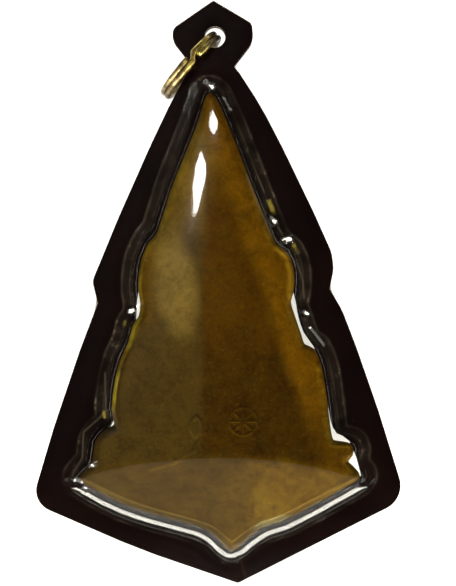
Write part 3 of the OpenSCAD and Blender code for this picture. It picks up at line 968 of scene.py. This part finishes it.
# The walls of the dome take finer faces than the rest
centres = np.array([face.center for face in backCover.data.polygons])
upward = np.array([face.normal.z for face in backCover.data.polygons]) > 0
centreDepths = depthIn(centres, castOutline)
upward &= centres[:, 2] > caseShape["above"][1] * mm
outer, inner = caseShape["walls"]
chooseFaces(backCover, upward & (centreDepths > outer) & (centreDepths < inner))
bpy.ops.mesh.subdivide(number_cuts=1, ngon=False)
bpy.ops.object.mode_set(mode="OBJECT")
lies, faces = pointsOf(backCover)[:, 2], normalsOf(backCover)[:, 2]
depths = depthIn(pointsOf(backCover), castOutline)
near = depths > -caseShape["reach"]
lowerSide = near & (faces < 0) & (lies > caseShape["above"][0] * mm)
upperSide = near & (faces > 0) & (lies > caseShape["above"][1] * mm)
crownFilm(backCover, caseShape["dome"][1], caseShape["border"][1], upperSide, depths)
crownFilm(backCover, caseShape["dome"][0], caseShape["border"][0], lowerSide, depths,
          setIn=caseShape["filmSetIn"])
bent = folded(backCover, upperSide)
x, y = pointsOf(backCover)[:, 0] / mm, pointsOf(backCover)[:, 1] / mm
marked(backCover, "dull", dullOf(y, depths, faces, bent))
marked(backCover, "wall", wallOf(y, depths, faces, bent))
frostAndGlintLines = frostOf(backCover)
# Pale lines painted in as frost, as highlights
for line in glintLines:
    for ends in zip(line, line[1:]):
        away = besideLine(x, y, (*ends[0], *ends[1]))[0]
        glintLine = glintLineFrost * (faces > 0) * ridge(away, glintLineHalf)
        frostAndGlintLines = np.maximum(frostAndGlintLines, glintLine)
marked(backCover, "frostAndGlint", frostAndGlintLines)
goldReflection = np.zeros(len(faces))
for *ends, half in goldReflectionSpots:
    spot = np.exp(-(besideLine(x, y, ends)[0] / half) ** 4)
    goldReflection = np.maximum(goldReflection, (faces > 0) * spot)
marked(backCover, "goldReflection", goldReflection)
smoothBy(backCover, caseShape["smooth"])
given(backCover, clear, "back_clear", "back_cover")

frontCover = smoothCover("front_cover", "frontCover", caseShape["frontBorder"])
marked(frontCover, "dull", normalsOf(frontCover)[:, 2] > 0)
marked(frontCover, "frostAndGlint", frostOf(frontCover))
smoothBy(frontCover, caseShape["smooth"])
given(frontCover, clear, "front_clear", "front_cover")
print("covers made,", len(backCover.data.polygons), len(frontCover.data.polygons), "faces")

# The black sheet's inner edge meets the casting, but for the notches where light comes through
sheetShape = {
    "near": 0.9,     # distance from the casting within which a point is drawn to it
    "gap": 0.15,
    "edge": 0.04,
    "sharp": 50,
    "lightAt": ((5, 8, -5, 0), (8, 12, -15, -8.5), (-7, -5.6, -1.9, 0)),
}


def inLight(x, y):
    return any(x0 < x < x1 and y0 < y < y1 for x0, x1, y0, y1 in sheetShape["lightAt"])


borderSheet = copyOfNode("border_sheet", "borderSheet")
sheetPoints = pointsOf(borderSheet)
for point in sheetPoints:
    place, _, away = castOutline[0].find((point[0], point[1], 0))
    if away < sheetShape["near"] * mm and not inLight(point[0] / mm, point[1] / mm):
        drawn = max(away - sheetShape["gap"] * mm, 0)
        point[:2] -= (point[:2] - place.to_2d()) / away * drawn
putPoints(borderSheet, sheetPoints)
applied(borderSheet, "BEVEL", width=sheetShape["edge"] * mm, segments=2, limit_method="ANGLE",
        angle_limit=math.radians(sheetShape["sharp"]))
smoothBy(borderSheet, sheetShape["sharp"])
given(borderSheet, blackPlastic(), "black_sheet", "border_sheet")
print("border sheet made")

# The ring

ringShape = {
    "turn": 229,       # direction in which it hangs, and its lean in the frame and here
    "lean": 6.5,
    "newLean": 4.0,
    "endAt": 102,      # where its ends lie in the frame
    "spin": -2,
    "pitch": 0.43,     # between its two coils
    "jog": 6,          # degrees over which the middle strand crosses over
    "plump": 1.3,      # how much thicker than in the frame its wire is
}


# From the ring's own place, with its axis up, to the pendant's
def ringFrame(lean):
    turns = ((ringShape["turn"], "Z"), (90 + lean, "X"), (ringShape["endAt"], "Z"))
    first, second, third = (Matrix.Rotation(math.radians(a), 3, axis) for a, axis in turns)
    return np.array(first @ second @ third)


splitRing = copyOfNode("split_ring", "splitRing")
applied(splitRing, "SUBSURF", levels=2, render_levels=2)
# Two coils side by side, with the middle strand crossing over where the ends stop
ringPoints = pointsOf(splitRing) @ ringFrame(ringShape["lean"])
ringMiddle = (ringPoints.min(axis=0) + ringPoints.max(axis=0)) / 2
local = (ringPoints - ringMiddle) / mm
spun = np.degrees(np.arctan2(local[:, 1], local[:, 0])) % 360
second = np.abs(local[:, 2] - ringShape["pitch"] * spun / 360) < ringShape["pitch"] / 2
spun += 360 * second
within = local[:, 2] - ringShape["pitch"] * (spun / 360 - 1)
jog = ringShape["jog"]
spun = 360 + (spun - 360) * (359 - jog) / 359
crossed = eased(spun, 360 - jog, 360 + jog) - 0.5
radii = np.hypot(local[:, 0], local[:, 1])
angles = np.radians(spun + ringShape["spin"])
local = np.column_stack((radii * np.cos(angles), radii * np.sin(angles),
                         ringShape["pitch"] * crossed + within * ringShape["plump"]))
middle = ringFrame(ringShape["lean"]) @ ringMiddle
putPoints(splitRing, middle + local * mm @ ringFrame(ringShape["newLean"]).T)
smoothBy(splitRing, 60)
given(splitRing, ringMetal(), "ring_wire", "split_ring")
print("ring made")

# Floor, lamps and camera

workOn(None)
bpy.ops.mesh.primitive_plane_add(size=3, location=(0, 0, 0))
floor = bpy.context.object
floor.name = "floor"
paper = Tree("pale paper")
floor.data.materials.append(paper.principled({
    "Base Color": paper.mix(paper.noise(0.01), (0.86, 0.86, 0.85, 1), (0.9, 0.9, 0.89, 1)),
    "Roughness": 0.8, "Emission Color": (1, 1, 1, 1), "Emission Strength": 0.75}))


# Directions are seen from the pendant, in degrees from straight up: to the right, then to
# the tab's end. Spreads are half the width and height of a lamp, as angles too.
lampAway = 0.6
lampColour = (1, 0.96, 0.86)


def lamp(name, towards, spread, radiance, shape="ELLIPSE"):
    rise = Vector((*(math.tan(math.radians(a)) for a in towards), 1)).normalized()
    across = (Vector((1, 0, 0)) - rise * rise.x).normalized()
    frameOf = Matrix((across, rise.cross(across), rise)).transposed()
    bpy.ops.object.light_add(type="AREA", location=rise * lampAway)
    made = bpy.context.object
    made.name = name
    made.data.shape = shape
    wide, tall = (2 * lampAway * math.tan(math.radians(a)) for a in spread)
    made.data.size, made.data.size_y = wide, tall
    area = made.data.size * made.data.size_y * (math.pi / 4 if shape == "ELLIPSE" else 1)
    made.data.energy = radiance * math.pi * area
    made.data.color = lampColour
    made.rotation_mode = "QUATERNION"
    made.rotation_quaternion = frameOf.to_quaternion()


lamp("upper spot", (0.3, 18.4), (4.0, 1.3), 40)
lamp("upper spot tips", (0.3, 18.4), (1.6, 2.1), 40)
lamp("left spot", (-10, 9.4), (4.3, 2.3), 40)
lamp("left spot tips", (-10, 9.5), (2.4, 3.7), 40)
lamp("dim wall", (0, -15), (50, 9), 0.45, shape="RECTANGLE")
lamp("low wall", (0, -40), (50, 16), 1.6, shape="RECTANGLE")
lamp("window", (5, -70), (58, 9), 24, shape="RECTANGLE")
world = bpy.context.scene.world or bpy.data.worlds.new("World")
bpy.context.scene.world = world
world.use_nodes = True
background = world.node_tree.nodes["Background"]
background.inputs["Color"].default_value = (0.9, 0.95, 1, 1)
background.inputs["Strength"].default_value = 0.02

# The camera looks straight down from 300 mm, and its frame is 0.08 mm to a pixel at the case
photo = {"wide": 456, "tall": 586, "mmPerPixel": 0.08, "middle": (218.3, 292), "away": 300,
         "level": 4.65, "sensor": 36}
cameraData = bpy.data.cameras.new("camera")
camera = bpy.data.objects.new("camera", cameraData)
bpy.context.scene.collection.objects.link(camera)
cameraData.sensor_width = photo["sensor"]
cameraData.lens = (photo["away"] - photo["level"]) * photo["sensor"] / (
    photo["tall"] * photo["mmPerPixel"])
camera.location = ((photo["wide"] / 2 - photo["middle"][0]) * photo["mmPerPixel"] * mm,
                   (photo["middle"][1] - photo["tall"] / 2) * photo["mmPerPixel"] * mm,
                   photo["away"] * mm)
cameraData.clip_start, cameraData.clip_end = 0.01, 10
bpy.context.scene.camera = camera
bpy.context.scene.view_settings.view_transform = "Standard"
print("stage set")
